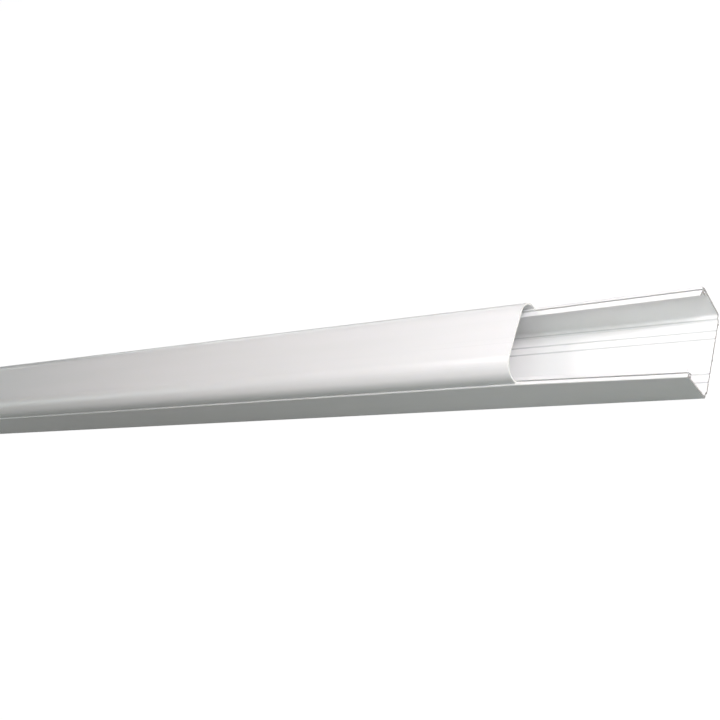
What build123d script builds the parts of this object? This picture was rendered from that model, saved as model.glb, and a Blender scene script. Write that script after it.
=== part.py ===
from build123d import *
from math import atan2, cos, radians, sin, tan
import os

# Two-piece extruded trunking for air conditioner pipes: a channel that is screwed to the
# wall, and a cover whose barbed legs clip into slots in the channel's lips.
# Millimetres. X runs along the stock, Y across it, Z out of the wall.
# The origin is the middle of the channel's back face.

# Driving dimensions: the stock
stock_length = 2000.0        # both pieces are cut to the same sold length
cover_set_back = 148.0       # how far the cover is slid back from the channel's near end
trunking_width = 80.0
channel_depth = 38.8         # back face to the front of the lips
channel_wall = 1.6
cover_wall = 1.4

# Driving dimensions: the channel's back
corner_relief = 2.2          # how far the two corners stand clear of the wall
corner_strip = 4.0           # width of each relieved corner
relief_run = 2.0             # width of the slope between the corner and the back panel
score_offsets = (16.7, 24.4) # the two score lines on each side of the middle
score_depth = 0.8
score_width = 1.8
corner_outer_radius = 1.6
corner_inner_radius = 2.0

# Driving dimensions: the lip and its slot
lip_radius = 1.0
ledge_width = 3.0            # front ledge between the side face and the slot
slot_width = 1.3
slot_depth = 4.6
slot_neck = 1.4              # depth of the narrow mouth above the barb's pocket
barb_pocket = 0.5            # how much wider the pocket is than the mouth
pocket_slope = 0.4
slot_floor = 1.2
flange_width = 4.1           # lead-in flange that runs inward from the slot
flange_drop = 1.3
flange_thickness = 1.3
flange_nose_radius = 0.5
splay_plus_y = 2.9           # degrees that the +Y side wall springs open at the free end
splay_minus_y = 5.1          # the same for the -Y side wall

# Driving dimensions: the cover
cover_inset = 1.3            # step from the channel's side to the cover's side at the joint
cover_swell = 0.7            # the sides lean out by this much towards the front
cover_side = 2.8             # short side between the joint and the round corner
cover_radius = 16.8
rim_radius = 0.3
foot_thickness = 1.4

# Named clearances
leg_clearance = 0.25         # between the cover's leg and each side of the slot's mouth
tip_clearance = 0.4          # between the leg's tip and the bottom of the slot
barb_clearance = 0.2         # between the barb and its pocket

# Sizes that follow from the ones above
half_width = trunking_width / 2
trunking_depth = channel_depth + cover_side + cover_radius
inner_side = half_width - channel_wall
corner_floor = corner_relief + channel_wall
slot_outer = half_width - ledge_width
slot_inner = slot_outer - slot_width
slot_bottom = channel_depth - slot_depth
pocket_side = slot_outer + barb_pocket
limb_side = slot_inner - slot_floor
near_end = stock_length / 2
cover_near_end = near_end - cover_set_back


def closed_outline(plus_half, minus_half):
    """A closed outline from two halves of (y, z, corner radius) points, the second one mirrored."""
    return plus_half + [(-y, z, radius) for y, z, radius in reversed(minus_half)]


def section_face(outline, x):
    """A face square to the length at x, inside a closed outline of (y, z, radius) points."""
    square_to_length = Plane(origin=(x, 0, 0), x_dir=(0, 1, 0), z_dir=(1, 0, 0))
    points = [(y, z) for y, z, radius in outline]
    radii = [radius for y, z, radius in outline]
    with BuildSketch(square_to_length) as sketch:
        with BuildLine():
            FilletPolyline(*points, radius=radii, close=True)
        make_face()
    return sketch.sketch.face()


def scores(z):
    """The V-shaped score lines of half the back, from the middle outwards, at height z."""
    points = []
    for offset in score_offsets:
        points.append((offset - score_width / 2, z, 0))
        points.append((offset, z + score_depth, 0))
        points.append((offset + score_width / 2, z, 0))
    return points


def relief_step(z, shift):
    """The slope from the back panel up to the relieved corner."""
    foot = half_width - corner_strip - relief_run - shift
    return [(foot, z, relief_run / 4), (foot + relief_run, z + corner_relief, relief_run / 4)]


def back_outer():
    """The back's outer face, from the middle to the side wall."""
    return scores(0) + relief_step(0, 0) + [(half_width, corner_relief, corner_outer_radius)]


def back_inner():
    """The back's inner face, from the side wall to the middle, one wall inside the outer one."""
    slope_angle = atan2(corner_relief, relief_run)
    wall_shift = channel_wall * tan(slope_angle / 2)
    outward = scores(channel_wall) + relief_step(channel_wall, wall_shift)
    return [(inner_side, corner_floor, corner_inner_radius)] + outward[::-1]


def lip():
    """The front of the side wall: ledge, slot with the barb's pocket, and lead-in flange."""
    neck_end = channel_depth - slot_neck
    flange_tip = slot_inner - flange_width
    ledge = [
        (half_width, channel_depth, lip_radius),
        (slot_outer, channel_depth, 0),
    ]
    slot = [
        (slot_outer, neck_end, 0),
        (pocket_side, neck_end - pocket_slope, 0),
        (pocket_side, slot_bottom, 0),
        (slot_inner, slot_bottom, 0),
    ]
    flange = [
        (slot_inner, channel_depth, 0),
        (flange_tip, channel_depth - flange_drop, flange_nose_radius),
        (flange_tip, channel_depth - flange_drop - flange_thickness, flange_nose_radius),
        (limb_side, channel_depth - flange_thickness, 0),
        (limb_side, slot_bottom - slot_floor, 0),
        (inner_side, slot_bottom - slot_floor, 0),
    ]
    return ledge + slot + flange


def sprung(points, splay):
    """The lip's points, turned outwards with the side wall about the channel's corner."""
    angle = radians(splay)
    turned = []
    for y, z, radius in points:
        along = y - half_width
        up = z - corner_floor
        turned.append((
            half_width + along * cos(angle) + up * sin(angle),
            corner_floor + up * cos(angle) - along * sin(angle),
            radius,
        ))
    return turned


def channel_half(splay):
    """Half of the channel's section, with its side wall sprung open by splay degrees."""
    return back_outer() + sprung(lip(), splay) + back_inner()


def channel_section(x, plus_splay, minus_splay):
    return section_face(closed_outline(channel_half(plus_splay), channel_half(minus_splay)), x)


def base_channel():
    """The channel: straight where the cover holds it, springing open towards its free end."""
    held = extrude(channel_section(-near_end, 0, 0), stock_length - cover_set_back, dir=(1, 0, 0))
    shut = channel_section(cover_near_end, 0, 0)
    sprung_open = channel_section(near_end, splay_plus_y, splay_minus_y)
    return held + loft([shut, sprung_open], ruled=True)


def cover_leg():
    """The foot on the ledge and the barbed leg in the slot, from the side face inwards."""
    leg_outer = slot_outer - leg_clearance
    leg_inner = slot_inner + leg_clearance
    leg_tip = slot_bottom + tip_clearance
    barb_tip = pocket_side - barb_clearance
    barb_top = channel_depth - slot_neck - pocket_slope - barb_clearance
    barb_height = (barb_top - leg_tip) * 2 / 3
    return [
        (leg_outer, channel_depth, 0),
        (leg_outer, barb_top, 0),
        (barb_tip, barb_top, 0),
        (leg_outer, barb_top - barb_height, 0),
        (leg_outer, leg_tip, 0),
        (leg_inner, leg_tip, 0),
        (leg_inner, channel_depth + foot_thickness, 0),
    ]


def clip_cover():
    """The cover: flat front, broad round corners, short sides and two barbed legs."""
    rim_side = half_width - cover_inset
    front_side = rim_side + cover_swell
    foot_top = channel_depth + foot_thickness
    outer = [
        (front_side, trunking_depth, cover_radius),
        (rim_side, channel_depth, rim_radius),
    ]
    inner = [
        (rim_side - cover_wall, foot_top, 0),
        (front_side - cover_wall, trunking_depth - cover_wall, cover_radius - cover_wall),
    ]
    half = outer + cover_leg() + inner
    face = section_face(closed_outline(half, half), cover_near_end)
    return extrude(face, stock_length, dir=(-1, 0, 0))


def main():
    os.makedirs("parts", exist_ok=True)
    export_step(base_channel(), "parts/base_channel.step")
    export_step(clip_cover(), "parts/clip_cover.step")


main()
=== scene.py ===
from math import acos, atan2, ceil, cos, exp, radians, sin, tan

import bmesh
import bpy
from mathutils import Matrix, Vector, noise


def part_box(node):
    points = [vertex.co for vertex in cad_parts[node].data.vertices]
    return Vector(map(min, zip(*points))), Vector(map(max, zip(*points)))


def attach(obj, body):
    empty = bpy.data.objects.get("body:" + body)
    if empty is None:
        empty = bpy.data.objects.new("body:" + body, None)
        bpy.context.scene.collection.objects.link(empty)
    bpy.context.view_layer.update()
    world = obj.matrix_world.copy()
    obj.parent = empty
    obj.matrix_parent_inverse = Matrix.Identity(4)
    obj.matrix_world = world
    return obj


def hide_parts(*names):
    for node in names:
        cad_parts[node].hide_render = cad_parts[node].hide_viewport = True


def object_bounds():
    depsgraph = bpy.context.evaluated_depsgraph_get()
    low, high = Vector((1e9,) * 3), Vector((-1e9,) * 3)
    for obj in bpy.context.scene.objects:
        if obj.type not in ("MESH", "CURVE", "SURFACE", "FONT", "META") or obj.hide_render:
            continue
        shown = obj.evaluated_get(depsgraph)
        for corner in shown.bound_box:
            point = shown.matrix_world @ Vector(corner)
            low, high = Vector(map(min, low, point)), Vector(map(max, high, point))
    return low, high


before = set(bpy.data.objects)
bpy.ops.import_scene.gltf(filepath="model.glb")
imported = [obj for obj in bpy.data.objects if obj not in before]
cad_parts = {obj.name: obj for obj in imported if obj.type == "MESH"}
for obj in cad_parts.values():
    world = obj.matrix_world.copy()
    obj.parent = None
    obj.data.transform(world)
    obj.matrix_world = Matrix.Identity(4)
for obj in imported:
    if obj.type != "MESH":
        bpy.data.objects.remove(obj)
cad_low, cad_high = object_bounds()

# Two-piece plastic trunking for air conditioner pipes: a channel for the wall, and a cover that
# clips over it. X runs along the stock, Y across it, Z out of the wall.
# Sections are drawn in millimetres and become metres when they are swept along X.
MM = 0.001

# The camera: where it stands, which way it is turned, and its lens in millimetres
CAMERA_PLACE = Vector((1.29038, -0.46440, 0.66797))
CAMERA_RIGHT = Vector((0.78058, 0.29283, -0.55222))
CAMERA_UP = Vector((0.07275, 0.83490, 0.54557))
CAMERA_LENS = 51.99
CAMERA_SENSOR = 36.0

# Places that the frame gives, in millimetres
channel_low, channel_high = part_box("base_channel")
cover_low, cover_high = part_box("clip_cover")
CHANNEL_FAR_END = channel_low.x / MM
CHANNEL_NEAR_END = channel_high.x / MM
COVER_FAR_END = cover_low.x / MM
COVER_NEAR_END = cover_high.x / MM
TRUNKING_DEPTH = cover_high.z / MM

# The channel's section
TRUNKING_WIDTH = 80.0
CHANNEL_DEPTH = 38.8
CHANNEL_WALL = 1.6
CORNER_RELIEF = 2.2
CORNER_STRIP = 4.0
RELIEF_RUN = 2.0
SCORE_OFFSETS = (16.7, 24.4)
SCORE_DEPTH = 0.8
SCORE_WIDTH = 1.8
CORNER_OUTER_RADIUS = 1.6
CORNER_INNER_RADIUS = 2.0

# The lip, its slot and its lead-in flange
LIP_RADIUS = 1.0
LEDGE_WIDTH = 3.0
SLOT_WIDTH = 1.3
SLOT_DEPTH = 4.6
SLOT_NECK = 1.4
BARB_POCKET = 0.5
POCKET_SLOPE = 0.4
SLOT_FLOOR = 1.2
FLANGE_WIDTH = 4.1
FLANGE_DROP = 1.3
FLANGE_THICKNESS = 1.3
FLANGE_NOSE_RADIUS = 0.5
SPLAY_PLUS_Y = 2.9
SPLAY_MINUS_Y = 5.1

# The cover's section
COVER_WALL = 1.4
COVER_INSET = 1.3
COVER_SWELL = 0.7
COVER_RADIUS = 16.8
RIM_RADIUS = 0.3
FOOT_THICKNESS = 1.4
LEG_CLEARANCE = 0.25
TIP_CLEARANCE = 0.4
BARB_CLEARANCE = 0.2

# Sizes that follow
HALF_WIDTH = TRUNKING_WIDTH / 2
INNER_SIDE = HALF_WIDTH - CHANNEL_WALL
CORNER_FLOOR = CORNER_RELIEF + CHANNEL_WALL
SLOT_OUTER = HALF_WIDTH - LEDGE_WIDTH
SLOT_INNER = SLOT_OUTER - SLOT_WIDTH
SLOT_BOTTOM = CHANNEL_DEPTH - SLOT_DEPTH
POCKET_SIDE = SLOT_OUTER + BARB_POCKET
LIMB_SIDE = SLOT_INNER - SLOT_FLOOR

# How finely the sections are drawn and swept
SOFT_EDGE = 0.14             # radius of the edges that the die leaves almost sharp
ARC_ERROR = 0.01             # how far a facet may cut inside its arc
RUN_STEP = 1.6               # longest straight piece of an outline
SWEEP_STEP = 34.0            # distance between sections along the stock
FREE_END_STEP = 9.0          # the same where the side walls spring open
SHARP_ANGLE = radians(50)
CUT_SURFACE = 1              # a piece's second material is the one of its saw cuts

# The saw cuts
CUT_CHAMFER = 0.12
CUT_RAGGEDNESS = 0.16
CUT_GRAIN = 0.55             # millimetres of outline for one bump of the ragged edge
CUT_NOISE_APART = 7.3        # keeps the two ends of a piece from being ragged alike
CUT_NOISE_LEVEL = 0.4        # the third coordinate at which the cuts' noise is read
BURR_REACH = 0.45            # the channel's near cut lies this far short of its burrs
BURR_WIDTH = 0.9
BURR_PLACES = (31.0, -3.0)   # where larger burrs stand on the channel's near cut, in Y
FLANGE_TRIM_PLUS_Y = 1.6     # how far the flange's tip is cut back at the near end
FLANGE_TRIM_MINUS_Y = 2.4
FLANGE_TRIM_HEIGHT = 1.8     # the trim runs out over this height above the slot's bottom
LEDGE_TRIM_PLUS_Y = 3.0      # how far the ledge's outer corner is rounded off at the near end
LEDGE_TRIM_HEIGHT = 3.2


# Sections

def closed_outline(plus_half, minus_half):
    """A closed outline from two halves of (y, z, corner radius) points, the second one mirrored."""
    return plus_half + [(-y, z, radius) for y, z, radius in reversed(minus_half)]


def scores(z):
    """The V-shaped score lines of half the back, from the middle outwards, at height z."""
    points = []
    for offset in SCORE_OFFSETS:
        points.append((offset - SCORE_WIDTH / 2, z, 0))
        points.append((offset, z + SCORE_DEPTH, 0))
        points.append((offset + SCORE_WIDTH / 2, z, 0))
    return points


def relief_step(z, shift):
    """The slope from the back panel up to the relieved corner."""
    foot = HALF_WIDTH - CORNER_STRIP - RELIEF_RUN - shift
    return [(foot, z, RELIEF_RUN / 4), (foot + RELIEF_RUN, z + CORNER_RELIEF, RELIEF_RUN / 4)]


def back_outer():
    """The back's outer face, from the middle to the side wall."""
    return scores(0) + relief_step(0, 0) + [(HALF_WIDTH, CORNER_RELIEF, CORNER_OUTER_RADIUS)]


def back_inner():
    """The back's inner face, from the side wall to the middle, one wall inside the outer one."""
    slope_angle = atan2(CORNER_RELIEF, RELIEF_RUN)
    wall_shift = CHANNEL_WALL * tan(slope_angle / 2)
    outward = scores(CHANNEL_WALL) + relief_step(CHANNEL_WALL, wall_shift)
    return [(INNER_SIDE, CORNER_FLOOR, CORNER_INNER_RADIUS)] + outward[::-1]


def lip():
    """The front of the side wall: ledge, slot with the barb's pocket, and lead-in flange."""
    neck_end = CHANNEL_DEPTH - SLOT_NECK
    flange_tip = SLOT_INNER - FLANGE_WIDTH
    flange_nose = CHANNEL_DEPTH - FLANGE_DROP
    ledge = [
        (HALF_WIDTH, CHANNEL_DEPTH, LIP_RADIUS),
        (SLOT_OUTER, CHANNEL_DEPTH, 0),
    ]
    slot = [
        (SLOT_OUTER, neck_end, 0),
        (POCKET_SIDE, neck_end - POCKET_SLOPE, 0),
        (POCKET_SIDE, SLOT_BOTTOM, 0),
        (SLOT_INNER, SLOT_BOTTOM, 0),
    ]
    flange = [
        (SLOT_INNER, CHANNEL_DEPTH, 0),
        (flange_tip, flange_nose, FLANGE_NOSE_RADIUS),
        (flange_tip, flange_nose - FLANGE_THICKNESS, FLANGE_NOSE_RADIUS),
        (LIMB_SIDE, CHANNEL_DEPTH - FLANGE_THICKNESS, 0),
        (LIMB_SIDE, SLOT_BOTTOM - SLOT_FLOOR, 0),
        (INNER_SIDE, SLOT_BOTTOM - SLOT_FLOOR, 0),
    ]
    return ledge + slot + flange


def sprung(points, splay):
    """The lip's points, turned outwards with the side wall about the channel's corner."""
    angle = radians(splay)
    turned = []
    for y, z, radius in points:
        along = y - HALF_WIDTH
        up = z - CORNER_FLOOR
        turned.append((
            HALF_WIDTH + along * cos(angle) + up * sin(angle),
            CORNER_FLOOR + up * cos(angle) - along * sin(angle),
            radius,
        ))
    return turned


def channel_half(splay):
    """Half of the channel's section, with its side wall sprung open by splay degrees."""
    return back_outer() + sprung(lip(), splay) + back_inner()


def channel_outline(plus_splay, minus_splay):
    """The channel's section, with each side wall sprung open by its own splay."""
    return closed_outline(channel_half(plus_splay), channel_half(minus_splay))


def cover_leg():
    """The foot on the ledge and the barbed leg in the slot, from the side face inwards."""
    leg_outer = SLOT_OUTER - LEG_CLEARANCE
    leg_inner = SLOT_INNER + LEG_CLEARANCE
    leg_tip = SLOT_BOTTOM + TIP_CLEARANCE
    barb_tip = POCKET_SIDE - BARB_CLEARANCE
    barb_top = CHANNEL_DEPTH - SLOT_NECK - POCKET_SLOPE - BARB_CLEARANCE
    barb_height = (barb_top - leg_tip) * 2 / 3
    return [
        (leg_outer, CHANNEL_DEPTH, 0),
        (leg_outer, barb_top, 0),
        (barb_tip, barb_top, 0),
        (leg_outer, barb_top - barb_height, 0),
        (leg_outer, leg_tip, 0),
        (leg_inner, leg_tip, 0),
        (leg_inner, CHANNEL_DEPTH + FOOT_THICKNESS, 0),
    ]


def cover_outline():
    """The cover's section: flat front, broad round corners, short sides and two barbed legs."""
    rim_side = HALF_WIDTH - COVER_INSET
    front_side = rim_side + COVER_SWELL
    foot_top = CHANNEL_DEPTH + FOOT_THICKNESS
    outer = [
        (front_side, TRUNKING_DEPTH, COVER_RADIUS),
        (rim_side, CHANNEL_DEPTH, RIM_RADIUS),
    ]
    inner = [
        (rim_side - COVER_WALL, foot_top, 0),
        (front_side - COVER_WALL, TRUNKING_DEPTH - COVER_WALL, COVER_RADIUS - COVER_WALL),
    ]
    half = outer + cover_leg() + inner
    return closed_outline(half, half)


# Outlines drawn as points

def corner_arc(before, corner, after, radius):
    """A rounded corner's centre, its first point seen from there, and the angle it turns."""
    to_before = (before - corner).normalized()
    to_after = (after - corner).normalized()
    opening = to_before.angle(to_after)
    centre = corner + (to_before + to_after).normalized() * (radius / sin(opening / 2))
    reach = radius / tan(opening / 2)
    start = corner + to_before * reach - centre
    return centre, start, start.angle_signed(corner + to_after * reach - centre)


def outline_arcs(outline):
    """The rounded corners of an outline, each as centre, start, turn and radius."""
    corners = [Vector((y, z)) for y, z, radius in outline]
    arcs = []
    for i, corner in enumerate(corners):
        radius = outline[i][2] or SOFT_EDGE
        after = corners[(i + 1) % len(corners)]
        arcs.append((*corner_arc(corners[i - 1], corner, after, radius), radius))
    return arcs


def arc_points(arc, steps):
    """The points of a rounded corner, from its first to its last."""
    centre, start, turn, radius = arc
    return [centre + Matrix.Rotation(-turn * i / steps, 2) @ start for i in range(steps + 1)]


def drawing_plan(outline):
    """How many facets each corner gets, and how many pieces the straight run after it."""
    arcs = outline_arcs(outline)
    plan = []
    for i, arc in enumerate(arcs):
        centre, start, turn, radius = arc
        steps = max(2, ceil(abs(turn) / (2 * acos(1 - ARC_ERROR / radius))))
        run = arc_points(arcs[(i + 1) % len(arcs)], 1)[0] - arc_points(arc, 1)[-1]
        plan.append((steps, max(1, ceil(run.length / RUN_STEP))))
    return plan


def drawn(outline, plan):
    """The outline as points. Outlines drawn to one plan match point by point."""
    arcs = [arc_points(arc, steps) for arc, (steps, pieces) in zip(outline_arcs(outline), plan)]
    points = []
    for i, (steps, pieces) in enumerate(plan):
        start = arcs[i][-1]
        end = arcs[(i + 1) % len(arcs)][0]
        points += arcs[i]
        points += [start.lerp(end, j / pieces) for j in range(1, pieces)]
    return points


def signed_area(points):
    """Positive for an outline drawn counter-clockwise."""
    return sum(points[i - 1].cross(point) for i, point in enumerate(points)) / 2


def pulled_in(points, distance):
    """The outline's points moved into the material by distance."""
    side = 1 if signed_area(points) > 0 else -1
    moved = []
    for i, point in enumerate(points):
        along = points[(i + 1) % len(points)] - points[i - 1]
        inward = Vector((-along.y, along.x)).normalized() * side
        moved.append(point + inward * distance)
    return moved


# Solids swept along the stock

def ragged(points, side):
    """How far short of the full length the saw leaves each point of the outline."""
    travelled = 0.0
    short = []
    for i, point in enumerate(points):
        travelled += (point - points[i - 1]).length
        where = Vector((travelled / CUT_GRAIN, side * CUT_NOISE_APART, CUT_NOISE_LEVEL))
        bump = noise.noise(where)
        short.append(CUT_RAGGEDNESS * (0.5 + 0.5 * bump))
    return short


def burr(y, z):
    """How far a burr stands out of the channel's near cut at this point, as a share."""
    if z > CHANNEL_WALL / 2:
        return 0.0
    return max(exp(-((y - place) / (BURR_WIDTH / 2)) ** 2) for place in BURR_PLACES)


def share_between(value, low, high):
    """Where the value lies between low and high, as 0 to 1."""
    return min(1.0, max(0.0, (value - low) / (high - low)))


def lip_trim(y, z):
    """How far the channel's near cut runs back at this point of the unsprung lips."""
    tip = FLANGE_TRIM_PLUS_Y if y > 0 else FLANGE_TRIM_MINUS_Y
    inward = share_between(SLOT_INNER - abs(y), 0, FLANGE_WIDTH)
    flange = tip * inward * share_between(z, SLOT_BOTTOM, SLOT_BOTTOM + FLANGE_TRIM_HEIGHT)
    if y < SLOT_OUTER:
        return flange
    outward = share_between(y, SLOT_OUTER, HALF_WIDTH)
    up = share_between(z, CHANNEL_DEPTH - LEDGE_TRIM_HEIGHT, CHANNEL_DEPTH)
    return LEDGE_TRIM_PLUS_Y * (outward * up) ** 2


def ring_stations(start, end, step):
    """Places along X from start to end, at most a step apart, without the first."""
    pieces = max(1, ceil(abs(end - start) / step))
    return [start + (end - start) * i / pieces for i in range(1, pieces + 1)]


def join_rows(built, rows):
    """Four-sided faces between each row of points and the next."""
    count = len(rows[0])
    for row, following in zip(rows, rows[1:]):
        for i in range(count):
            j = (i + 1) % count
            built.faces.new((row[i], row[j], following[j], following[i]))


def mark_as_cut(caps):
    """Gives the caps and the chamfers around them the surface of the saw cut."""
    cut_faces = list(caps)
    for cap in caps:
        for edge in cap.edges:
            cut_faces += [face for face in edge.link_faces if face not in caps]
    for face in cut_faces:
        face.material_index = CUT_SURFACE


def swept(name, rings):
    """A closed mesh through rings of points in millimetres, capped at both ends."""
    built = bmesh.new()
    rows = [[built.verts.new(Vector(point) * MM) for point in ring] for ring in rings]
    join_rows(built, rows)
    caps = [built.faces.new(rows[0]), built.faces.new(rows[-1])]
    mark_as_cut(caps)
    built.normal_update()
    bmesh.ops.triangulate(built, faces=caps)
    bmesh.ops.recalc_face_normals(built, faces=built.faces)
    mesh = bpy.data.meshes.new(name)
    built.to_mesh(mesh)
    built.free()
    for polygon in mesh.polygons:
        polygon.use_smooth = True
    mesh.set_sharp_from_angle(angle=SHARP_ANGLE)
    piece = bpy.data.objects.new(name, mesh)
    bpy.context.scene.collection.objects.link(piece)
    return piece


def cut_rings(points, x, side, set_back):
    """The two rings of a sawn end: the start of its chamfer, and the cut itself."""
    chamfer = []
    cut = []
    for point, inner, back in zip(points, pulled_in(points, CUT_CHAMFER), set_back):
        reach = x - side * back
        chamfer.append((reach - side * CUT_CHAMFER, point.x, point.y))
        cut.append((reach, inner.x, inner.y))
    return chamfer, cut


def near_cut_set_back(held, open_end):
    """How far short of its burrs the channel's near cut is, point by point."""
    set_back = []
    for rest, point, lack in zip(held, open_end, ragged(open_end, 1)):
        clear_of_burr = 1 - burr(point.x, point.y)
        set_back.append((BURR_REACH + lack) * clear_of_burr + lip_trim(rest.x, rest.y))
    return set_back


def channel_rings():
    """The channel's rings: held straight under the cover, springing open to its free end."""
    plan = drawing_plan(channel_outline(0, 0))
    held = drawn(channel_outline(0, 0), plan)
    open_end = drawn(channel_outline(SPLAY_PLUS_Y, SPLAY_MINUS_Y), plan)
    stations = ring_stations(CHANNEL_FAR_END, COVER_NEAR_END, SWEEP_STEP)
    rings = list(reversed(cut_rings(held, CHANNEL_FAR_END, -1, ragged(held, -1))))
    rings += [[(x, p.x, p.y) for p in held] for x in stations]
    free_length = CHANNEL_NEAR_END - COVER_NEAR_END
    for x in ring_stations(COVER_NEAR_END, CHANNEL_NEAR_END, FREE_END_STEP)[:-1]:
        share = (x - COVER_NEAR_END) / free_length
        blended = [a.lerp(b, share) for a, b in zip(held, open_end)]
        rings.append([(x, p.x, p.y) for p in blended])
    set_back = near_cut_set_back(held, open_end)
    rings += cut_rings(open_end, CHANNEL_NEAR_END, 1, set_back)
    return rings


def cover_rings():
    """The cover's rings, all alike but for its two sawn ends."""
    points = drawn(cover_outline(), drawing_plan(cover_outline()))
    stations = ring_stations(COVER_FAR_END, COVER_NEAR_END, SWEEP_STEP)[:-1]
    rings = list(reversed(cut_rings(points, COVER_FAR_END, -1, ragged(points, -1))))
    rings += [[(x, p.x, p.y) for p in points] for x in stations]
    rings += cut_rings(points, COVER_NEAR_END, 1, ragged(points, 1))
    return rings


# Materials

# Extruded rigid PVC: colours, and fine patterns as repeats per metre along X, Y and Z
PLASTIC_LIGHT = (0.90, 0.905, 0.90)
PLASTIC_SHADE = (0.88, 0.89, 0.88)
PLASTIC_IOR = 1.52
DIE_LINES = (0.6, 900.0, 900.0)      # long lines that the die draws along X
DIE_LINE_DETAIL = 3.0
DIE_WAVES = (3.0, 60.0, 60.0)        # slow waves of the wall as it cools
DIE_WAVE_DETAIL = 1.0
DIE_WAVE_HEIGHT = 0.00012
FINE_GRAIN = (700.0, 1400.0, 1400.0)
FINE_GRAIN_DETAIL = 2.0
FINE_GRAIN_HEIGHT = 0.000002
SCATTER_WEIGHT = 0.12
SCATTER_RADIUS = (1.0, 0.9, 0.75)
SCATTER_SCALE = 0.0016

# Each piece's own skin: lowest and highest roughness, and the height of its die lines
CHANNEL_SKIN = (0.28, 0.38, 0.000004)
COVER_SKIN = (0.27, 0.37, 0.000002)

# The saw cuts: darker and lighter patches, and the teeth's marks
CLEAN_CUT = ((0.66, 0.66, 0.62), (0.80, 0.80, 0.76))
# Painted shade: the channel's sawn ends get dark grey colours, as if shaded, though the lamp beyond
# the near end lights them.
PAINTED_SHADE_CUT = ((0.20, 0.19, 0.18), (0.42, 0.41, 0.39))     # the channel's cut is grey in the photo
CUT_ROUGHNESS = (0.55, 0.8)
SAW_MARKS = (2500.0, 2500.0, 260.0)
SAW_MARK_DETAIL = 3.0
SAW_MARK_HEIGHT = 0.00003

# Painted shade along the creases of the channel's back: a darker colour on two score lines and on
# the slope below the corner's edge on each side, given as millimetres from the middle and half the
# crease's width
EDGE_OFFSET = 34.6
SHADE_PAINTED_CREASES = ((SCORE_OFFSETS[0], 1.0), (SCORE_OFFSETS[1], 1.0), (EDGE_OFFSET, 0.45))
PAINTED_CREASE_SHADE_COLOUR = (0.30, 0.33, 0.33)
PAINTED_CREASE_SHADE_STRENGTH = 0.35
PAINTED_SHADE_TOP = CORNER_FLOOR
PAINTED_SHADE_FADE = 1.0            # millimetres over which the shade ends above the corner's floor

# The part of a noise's values that is spread over roughness, and the part that is spread over tint
ROUGHNESS_SPREAD = (0.3, 0.7)
TINT_SPREAD = (0.35, 0.65)

# A Mix node has sockets of one name for each kind of value, so the colour ones go by number
MIX_FIRST_COLOUR = 6
MIX_SECOND_COLOUR = 7
MIX_MIXED_COLOUR = 2


def new_material(name):
    """A material with an empty Principled shader, its node tree and that shader."""
    material = bpy.data.materials.new(name)
    material.use_nodes = True
    return material, material.node_tree, material.node_tree.nodes["Principled BSDF"]


def stretched_noise(tree, scale, detail):
    """Noise in the part's own frame, with its own scale for each of X, Y and Z."""
    place = tree.nodes.new("ShaderNodeTexCoord")
    stretch = tree.nodes.new("ShaderNodeMapping")
    stretch.inputs["Scale"].default_value = scale
    grain = tree.nodes.new("ShaderNodeTexNoise")
    grain.inputs["Scale"].default_value = 1.0
    grain.inputs["Detail"].default_value = detail
    tree.links.new(place.outputs["Object"], stretch.inputs["Vector"])
    tree.links.new(stretch.outputs["Vector"], grain.inputs["Vector"])
    return grain.outputs["Fac"]


def remapped(tree, value, source, target):
    """The value, moved from the range source to the range target and held inside it."""
    ramp = tree.nodes.new("ShaderNodeMapRange")
    ramp.inputs["From Min"].default_value = source[0]
    ramp.inputs["From Max"].default_value = source[1]
    ramp.inputs["To Min"].default_value = target[0]
    ramp.inputs["To Max"].default_value = target[1]
    tree.links.new(value, ramp.inputs["Value"])
    return ramp.outputs["Result"]


def tinted(tree, value, colour_low, colour_high):
    """A colour between two, chosen by the value."""
    ramp = tree.nodes.new("ShaderNodeValToRGB")
    ramp.color_ramp.elements[0].position = TINT_SPREAD[0]
    ramp.color_ramp.elements[0].color = (*colour_low, 1)
    ramp.color_ramp.elements[1].position = TINT_SPREAD[1]
    ramp.color_ramp.elements[1].color = (*colour_high, 1)
    tree.links.new(value, ramp.inputs["Fac"])
    return ramp.outputs["Color"]


def bumped(tree, value, distance, below=None):
    """A bump from the value, on top of another bump where there is one."""
    bump = tree.nodes.new("ShaderNodeBump")
    bump.inputs["Distance"].default_value = distance
    tree.links.new(value, bump.inputs["Height"])
    if below is not None:
        tree.links.new(below, bump.inputs["Normal"])
    return bump.outputs["Normal"]


def number(tree, operation, first, second=None):
    """A number worked out from a link and, where it takes two, another link or a constant."""
    node = tree.nodes.new("ShaderNodeMath")
    node.operation = operation
    tree.links.new(first, node.inputs[0])
    if isinstance(second, float):
        node.inputs[1].default_value = second
    elif second is not None:
        tree.links.new(second, node.inputs[1])
    return node.outputs["Value"]


def painted_crease_shade(tree):
    """How strongly a point takes the painted shade of one of the creases, as a share."""
    place = tree.nodes.new("ShaderNodeTexCoord")
    split = tree.nodes.new("ShaderNodeSeparateXYZ")
    tree.links.new(place.outputs["Object"], split.inputs["Vector"])
    across = number(tree, "ABSOLUTE", split.outputs["Y"])
    shares = []
    for middle, half in SHADE_PAINTED_CREASES:
        away = number(tree, "ABSOLUTE", number(tree, "SUBTRACT", across, middle * MM))
        shares.append(remapped(tree, away, (half * MM / 2, half * MM), (1.0, 0.0)))
    deepest = number(tree, "MAXIMUM", number(tree, "MAXIMUM", shares[0], shares[1]), shares[2])
    end_of_shade = (PAINTED_SHADE_TOP * MM, (PAINTED_SHADE_TOP + PAINTED_SHADE_FADE) * MM)
    low_down = remapped(tree, split.outputs["Z"], end_of_shade, (1.0, 0.0))
    return number(tree, "MULTIPLY", number(tree, "MULTIPLY", deepest, low_down), PAINTED_CREASE_SHADE_STRENGTH)


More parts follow.
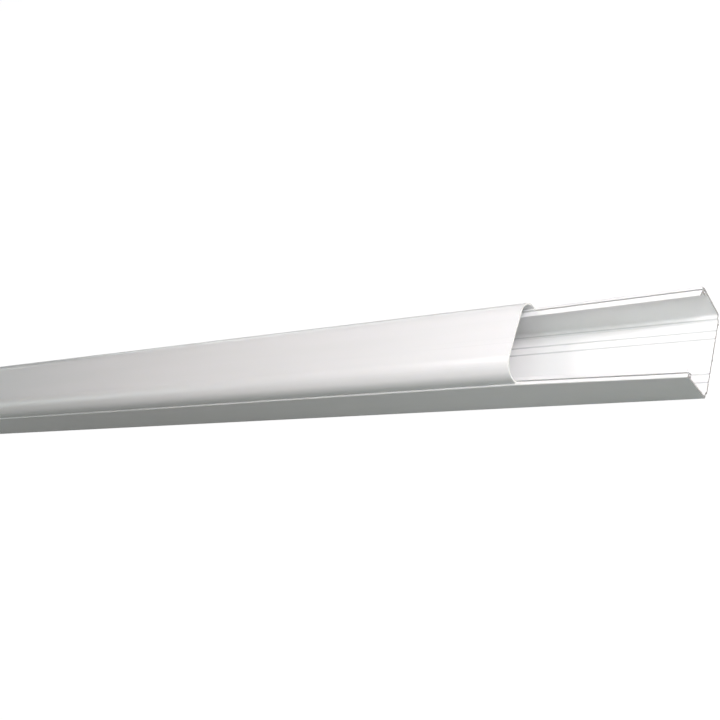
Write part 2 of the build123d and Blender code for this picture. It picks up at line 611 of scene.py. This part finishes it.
def with_painted_shade(tree, colour, dark, share):
    """The colour, turned towards a darker painted shade colour by the share."""
    mix = tree.nodes.new("ShaderNodeMix")
    mix.data_type = "RGBA"
    tree.links.new(share, mix.inputs["Factor"])
    tree.links.new(colour, mix.inputs[MIX_FIRST_COLOUR])
    mix.inputs[MIX_SECOND_COLOUR].default_value = (*dark, 1)
    return mix.outputs[MIX_MIXED_COLOUR]


def plastic(name, skin, crease_shade_painted):
    """White PVC: die lines along the stock, slow waves, fine grain, an uneven gloss and, if asked,
    painted crease shade.
    """
    smoothest, roughest, line_height = skin
    material, tree, shader = new_material(name)
    lines = stretched_noise(tree, DIE_LINES, DIE_LINE_DETAIL)
    waves = stretched_noise(tree, DIE_WAVES, DIE_WAVE_DETAIL)
    grain = stretched_noise(tree, FINE_GRAIN, FINE_GRAIN_DETAIL)
    colour = tinted(tree, waves, PLASTIC_SHADE, PLASTIC_LIGHT)
    # Painted shade: the back's creases get a darker colour where their relief would be shaded.
    if crease_shade_painted:
        colour = with_painted_shade(tree, colour, PAINTED_CREASE_SHADE_COLOUR, painted_crease_shade(tree))
    roughness = remapped(tree, lines, ROUGHNESS_SPREAD, (smoothest, roughest))
    wavy = bumped(tree, waves, DIE_WAVE_HEIGHT)
    lined = bumped(tree, lines, line_height, wavy)
    grained = bumped(tree, grain, FINE_GRAIN_HEIGHT, lined)
    tree.links.new(colour, shader.inputs["Base Color"])
    tree.links.new(roughness, shader.inputs["Roughness"])
    tree.links.new(grained, shader.inputs["Normal"])
    shader.inputs["IOR"].default_value = PLASTIC_IOR
    shader.inputs["Subsurface Weight"].default_value = SCATTER_WEIGHT
    shader.inputs["Subsurface Radius"].default_value = SCATTER_RADIUS
    shader.inputs["Subsurface Scale"].default_value = SCATTER_SCALE
    return material


def sawn_plastic(name, shade, light):
    """PVC where the saw went through: matt, greyer than the skin, scored by the teeth."""
    material, tree, shader = new_material(name)
    marks = stretched_noise(tree, SAW_MARKS, SAW_MARK_DETAIL)
    patches = stretched_noise(tree, FINE_GRAIN, FINE_GRAIN_DETAIL)
    colour = tinted(tree, patches, shade, light)
    roughness = remapped(tree, marks, ROUGHNESS_SPREAD, CUT_ROUGHNESS)
    scored = bumped(tree, marks, SAW_MARK_HEIGHT)
    tree.links.new(colour, shader.inputs["Base Color"])
    tree.links.new(roughness, shader.inputs["Roughness"])
    tree.links.new(scored, shader.inputs["Normal"])
    shader.inputs["IOR"].default_value = PLASTIC_IOR
    return material


# Camera, floor and light

def place_camera():
    """The camera at the photograph's viewing angle."""
    camera = bpy.data.objects.new("camera", bpy.data.cameras.new("camera"))
    camera.data.sensor_width = CAMERA_SENSOR
    camera.data.lens = CAMERA_LENS
    turn = Matrix((CAMERA_RIGHT, CAMERA_UP, CAMERA_RIGHT.cross(CAMERA_UP))).transposed()
    camera.matrix_world = Matrix.Translation(CAMERA_PLACE) @ turn.to_4x4()
    bpy.context.scene.collection.objects.link(camera)
    bpy.context.scene.camera = camera


# The floor and the room look white, but they throw little light on the object
FLOOR_REACH = 30.0
FLOOR_GAP = 0.0003           # metres between the floor and the channel's back
FLOOR_SEEN = (1.0, 1.0, 1.0)
FLOOR_BOUNCE = (0.30, 0.32, 0.31)
FLOOR_SHADOW_SHARE = 0.06    # how much of the seen floor is lit by the lamps and takes shadows
FLOOR_GLOW = 1.06
ROOM_SEEN = (1.0, 1.0, 1.0)
ROOM_LIGHT = (0.012, 0.012, 0.010)


def seen_or_lighting(tree, seen, lighting):
    """One shader where the camera looks at the surface itself, another for the light it gives."""
    path = tree.nodes.new("ShaderNodeLightPath")
    choice = tree.nodes.new("ShaderNodeMixShader")
    tree.links.new(path.outputs["Is Camera Ray"], choice.inputs["Fac"])
    tree.links.new(lighting, choice.inputs[1])
    tree.links.new(seen, choice.inputs[2])
    return choice.outputs["Shader"]


def floor_material():
    """White where the camera sees it, with faint shadows, and dimmer where it lights the object."""
    material, tree, shader = new_material("floor")
    tree.nodes.remove(shader)
    glow = tree.nodes.new("ShaderNodeEmission")
    glow.inputs["Color"].default_value = (*FLOOR_SEEN, 1)
    glow.inputs["Strength"].default_value = FLOOR_GLOW
    pale = tree.nodes.new("ShaderNodeBsdfDiffuse")
    pale.inputs["Color"].default_value = (*FLOOR_SEEN, 1)
    seen = tree.nodes.new("ShaderNodeMixShader")
    seen.inputs["Fac"].default_value = FLOOR_SHADOW_SHARE
    tree.links.new(glow.outputs["Emission"], seen.inputs[1])
    tree.links.new(pale.outputs["BSDF"], seen.inputs[2])
    dim = tree.nodes.new("ShaderNodeBsdfDiffuse")
    dim.inputs["Color"].default_value = (*FLOOR_BOUNCE, 1)
    surface = seen_or_lighting(tree, seen.outputs["Shader"], dim.outputs["BSDF"])
    tree.links.new(surface, tree.nodes["Material Output"].inputs["Surface"])
    return material


def lay_floor():
    """A plain pale floor, just under the channel's back."""
    corner = FLOOR_REACH
    level = cad_low.z - FLOOR_GAP
    corners = [(-corner, -corner, level), (corner, -corner, level)]
    corners += [(corner, corner, level), (-corner, corner, level)]
    mesh = bpy.data.meshes.new("floor")
    mesh.from_pydata(corners, [], [(0, 1, 2, 3)])
    floor = bpy.data.objects.new("floor", mesh)
    bpy.context.scene.collection.objects.link(floor)
    floor.data.materials.append(floor_material())


def light_room():
    """A room that looks white to the camera and adds only a trace of even light."""
    world = bpy.data.worlds.new("room")
    world.use_nodes = True
    tree = world.node_tree
    even = tree.nodes["Background"]
    even.inputs["Color"].default_value = (*ROOM_LIGHT, 1)
    white = tree.nodes.new("ShaderNodeBackground")
    white.inputs["Color"].default_value = (*ROOM_SEEN, 1)
    surface = seen_or_lighting(tree, white.outputs["Background"], even.outputs["Background"])
    tree.links.new(surface, tree.nodes["World Output"].inputs["Surface"])
    bpy.context.scene.world = world


# Soft boxes: name, place, the point it faces, width, height, watts and colour. Their tints nearly
# cancel out on the object.
SOFT_BOXES = (
    ("over_near_end", (1.40, 0.0, 0.75), (1.40, 0.0, 0.0), 0.30, 0.30, 5.7, (0.94, 0.86, 0.90)),
    ("beyond_near_end", (2.30, 0.0, 0.60), (0.70, 0.0, 0.03), 0.50, 0.50, 16.0, (0.97, 0.99, 1.0)),
    ("strip_near", (1.00, -0.30, 0.65), (1.00, 0.0, 0.03), 0.40, 0.30, 1.2, (0.92, 1.0, 0.97)),
    ("strip_far", (-0.65, -0.30, 0.65), (-0.65, 0.0, 0.03), 1.00, 0.30, 2.0, (0.84, 1.0, 0.98)),
    ("over_middle", (0.50, 0.10, 0.75), (0.50, 0.10, 0.0), 0.30, 0.30, 2.1, (0.94, 0.86, 0.86)),
    ("side_plus_y", (-0.50, 1.20, 0.12), (-0.50, 0.0, 0.03), 1.40, 0.20, 3.6, (0.92, 1.0, 1.0)),
    ("beyond_far_end", (-2.00, 1.00, 0.60), (-0.90, 0.0, 0.03), 0.50, 0.50, 1.6, (0.96, 1.0, 1.0)),
    ("side_minus_y", (-0.30, -1.20, 0.45), (-0.20, 0.0, 0.03), 1.20, 0.50, 2.5, (1.0, 0.92, 0.90)),
)


def place_soft_box(name, place, target, width, height, watts, colour):
    """A lamp with a glowing rectangle, turned to face its target and hidden from the camera."""
    light = bpy.data.lights.new(name, "AREA")
    light.shape = "RECTANGLE"
    light.size = width
    light.size_y = height
    light.energy = watts
    light.color = colour
    lamp = bpy.data.objects.new(name, light)
    lamp.location = place
    lamp.rotation_mode = "QUATERNION"
    facing = Vector(target) - Vector(place)
    lamp.rotation_quaternion = facing.to_track_quat("-Z", "Y")
    lamp.visible_camera = False
    bpy.context.scene.collection.objects.link(lamp)


# The scene

def dress(piece, node, surface, cut_surface):
    """Finishes a piece that takes the place of a node of the frame."""
    piece.data.materials.append(surface)
    piece.data.materials.append(cut_surface)
    even_out = piece.modifiers.new("even_normals", "WEIGHTED_NORMAL")
    even_out.keep_sharp = True
    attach(piece, "root")
    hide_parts(node)


place_camera()
lay_floor()
light_room()
for soft_box in SOFT_BOXES:
    place_soft_box(*soft_box)

# The channel's cuts take the painted shade colours.
channel_cut = sawn_plastic("channel_sawn_plastic", *PAINTED_SHADE_CUT)
cover_cut = sawn_plastic("cover_sawn_plastic", *CLEAN_CUT)
# The channel's back gets painted shade in its creases.
channel_surface = plastic("channel_plastic", CHANNEL_SKIN, crease_shade_painted=True)
cover_surface = plastic("cover_plastic", COVER_SKIN, crease_shade_painted=False)
channel = swept("channel_extrusion", channel_rings())
cover = swept("cover_extrusion", cover_rings())
dress(channel, "base_channel", channel_surface, channel_cut)
dress(cover, "clip_cover", cover_surface, cover_cut)

bpy.context.scene.view_settings.view_transform = "Standard"
